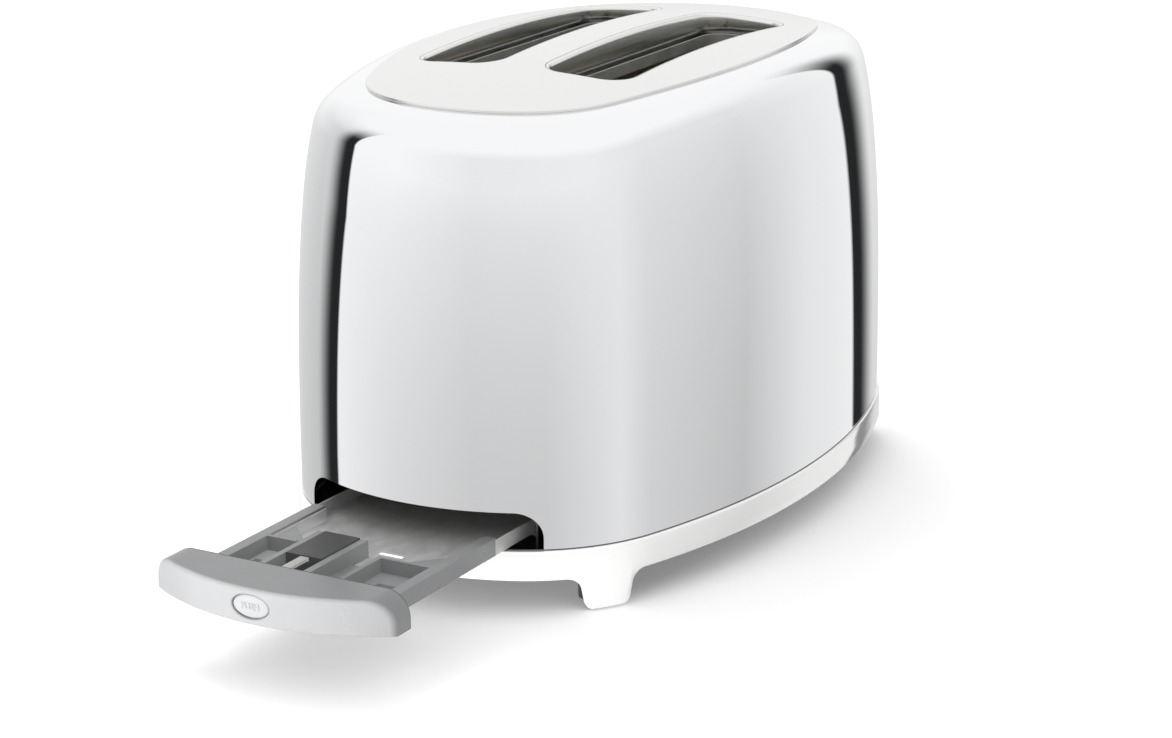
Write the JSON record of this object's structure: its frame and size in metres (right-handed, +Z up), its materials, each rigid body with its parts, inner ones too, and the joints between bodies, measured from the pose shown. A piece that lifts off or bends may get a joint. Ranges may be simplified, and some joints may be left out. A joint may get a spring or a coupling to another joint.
{
  "type": "two-slice toaster",
  "caption": "Two-slice toaster: oval polished body, brushed top with two long bread slots, sliding crumb tray with push release, lift lever, browning dial and push buttons.",
  "frame": {"origin": "on the worktop under the middle of the body outline", "axes": "+X along the bread slots towards the lever and dial end, -X the crumb tray end; -Y the long side nearest the camera in the picture; +Z up"},
  "size_m": [0.4371, 0.1964, 0.198],
  "materials": {
    "polished_shell": "mirror-polished stainless steel",
    "brushed_panel": "satin stainless steel",
    "chrome_skirt": "bright chromed band",
    "black_base": "black moulded plastic",
    "foot_rubber": "soft black rubber",
    "zinc_screw": "zinc-plated steel",
    "bush_rubber": "moulded rubber",
    "chassis_steel": "aluminised sheet steel",
    "reflector_steel": "bright aluminised sheet steel",
    "brass_bar": "plain brass strip",
    "rack_steel": "plated steel",
    "keeper_iron": "soft iron",
    "chrome_ball": "polished chrome",
    "rod_steel": "ground steel rod",
    "spring_steel": "spring steel wire",
    "coil_tape": "varnished winding tape",
    "switch_plastic": "black phenolic plastic",
    "terminal_plastic": "natural moulded plastic",
    "board_laminate": "paper laminate board",
    "pot_metal": "pressed steel can",
    "satin_panel": "satin metal",
    "satin_dial": "turned satin metal",
    "chrome_key": "bright chrome",
    "tray_plastic": "silver moulded plastic",
    "latch_plastic": "black moulded plastic",
    "button_plastic": "silver moulded plastic",
    "pan_steel": "satin sheet steel",
    "runner_steel": "plain sheet steel",
    "mica": "silvery mica sheet",
    "heating_ribbon": "oxidised resistance ribbon",
    "guard_wire": "plated steel wire"
  },
  "bodies": {
    "housing": {"base_plate": "black_base", "base_screws": "zinc_screw", "base_skirt": "chrome_skirt", "bus_bar": "brass_bar", "chamber_top_plate": "chassis_steel", "control_board": "board_laminate", "control_end_plate": "chassis_steel", "control_panel": "satin_panel", "cord_bush": "bush_rubber", "cord_cleats": "black_base", "dial_potentiometer": "pot_metal", "far_inner_heating_ribbon": "heating_ribbon", "far_inner_mica_card": "mica", "far_outer_heating_ribbon": "heating_ribbon", "far_outer_mica_card": "mica", "far_reflector": "reflector_steel", "guide_rod": "rod_steel", "key_switches": "switch_plastic", "magnet_coil": "coil_tape", "magnet_core": "keeper_iron", "mains_switch": "switch_plastic", "near_inner_heating_ribbon": "heating_ribbon", "near_inner_mica_card": "mica", "near_outer_heating_ribbon": "heating_ribbon", "near_outer_mica_card": "mica", "near_reflector": "reflector_steel", "outer_shell": "polished_shell", "return_springs": "spring_steel", "rubber_feet": "foot_rubber", "terminal_block": "terminal_plastic", "top_panel": "brushed_panel", "tray_catch": "runner_steel", "tray_end_plate": "chassis_steel", "tray_runners": "runner_steel"},
    "crumb_tray": {"tray_handle": "tray_plastic", "latch_block": "latch_plastic", "crumb_pan": "pan_steel"},
    "tray_release": {"push_button": "button_plastic", "release_slider": "rack_steel"},
    "carriage": {"near_rack": "rack_steel", "far_rack": "rack_steel", "carriage_bracket": "chassis_steel", "keeper_plate": "keeper_iron", "lever_arm": "rack_steel", "lever_ball": "chrome_ball"},
    "dial": {"browning_dial": "satin_dial"},
    "stop_key": {"stop_button": "chrome_key"},
    "defrost_key": {"defrost_button": "chrome_key"},
    "reheat_key": {"reheat_button": "chrome_key"},
    "bagel_key": {"bagel_button": "chrome_key"},
    "near_outer_cage": {"near_outer_guard": "guard_wire"},
    "near_inner_cage": {"near_inner_guard": "guard_wire"},
    "far_inner_cage": {"far_inner_guard": "guard_wire"},
    "far_outer_cage": {"far_outer_guard": "guard_wire"}
  },
  "joints": [
    {"name": "crumb_tray_slide", "type": "slide", "parent": "housing", "child": "crumb_tray", "axis": [1, 0, 0], "range_m": [-0.12, 0.1032]},
    {"name": "tray_release_press", "type": "slide", "parent": "crumb_tray", "child": "tray_release", "axis": [1, 0, 0], "range_m": [0, 0.002], "stiffness_N_per_m": 350, "springref_m": -0.002},
    {"name": "carriage_lift", "type": "slide", "parent": "housing", "child": "carriage", "axis": [0, 0, 1], "range_m": [-0.045, 0], "stiffness_N_per_m": 90, "springref_m": 0.03, "deforming": ["return_springs"]},
    {"name": "browning_dial_turn", "type": "hinge", "parent": "housing", "child": "dial", "pos_m": [0.1555, 0, 0.044], "axis": [1, 0, 0], "range_deg": [-270, 0]},
    {"name": "stop_button_press", "type": "slide", "parent": "housing", "child": "stop_key", "axis": [-1, 0, 0], "range_m": [0, 0.0015], "stiffness_N_per_m": 350, "springref_m": -0.002},
    {"name": "defrost_button_press", "type": "slide", "parent": "housing", "child": "defrost_key", "axis": [-1, 0, 0], "range_m": [0, 0.0015], "stiffness_N_per_m": 350, "springref_m": -0.002},
    {"name": "reheat_button_press", "type": "slide", "parent": "housing", "child": "reheat_key", "axis": [-1, 0, 0], "range_m": [0, 0.0015], "stiffness_N_per_m": 350, "springref_m": -0.002},
    {"name": "bagel_button_press", "type": "slide", "parent": "housing", "child": "bagel_key", "axis": [-1, 0, 0], "range_m": [0, 0.0015], "stiffness_N_per_m": 350, "springref_m": -0.002},
    {"name": "near_outer_guard_close", "type": "slide", "parent": "housing", "child": "near_outer_cage", "axis": [0, 1, 0], "range_m": [0, 0.007]},
    {"name": "near_inner_guard_close", "type": "slide", "parent": "housing", "child": "near_inner_cage", "axis": [0, -1, 0], "range_m": [0, 0.007]},
    {"name": "far_inner_guard_close", "type": "slide", "parent": "housing", "child": "far_inner_cage", "axis": [0, 1, 0], "range_m": [0, 0.007]},
    {"name": "far_outer_guard_close", "type": "slide", "parent": "housing", "child": "far_outer_cage", "axis": [0, -1, 0], "range_m": [0, 0.007]}
  ],
  "couplings": [
    {"joint": "near_outer_guard_close", "follows": "carriage_lift", "ratio": -0.15556},
    {"joint": "near_inner_guard_close", "follows": "carriage_lift", "ratio": -0.15556},
    {"joint": "far_inner_guard_close", "follows": "carriage_lift", "ratio": -0.15556},
    {"joint": "far_outer_guard_close", "follows": "carriage_lift", "ratio": -0.15556}
  ]
}
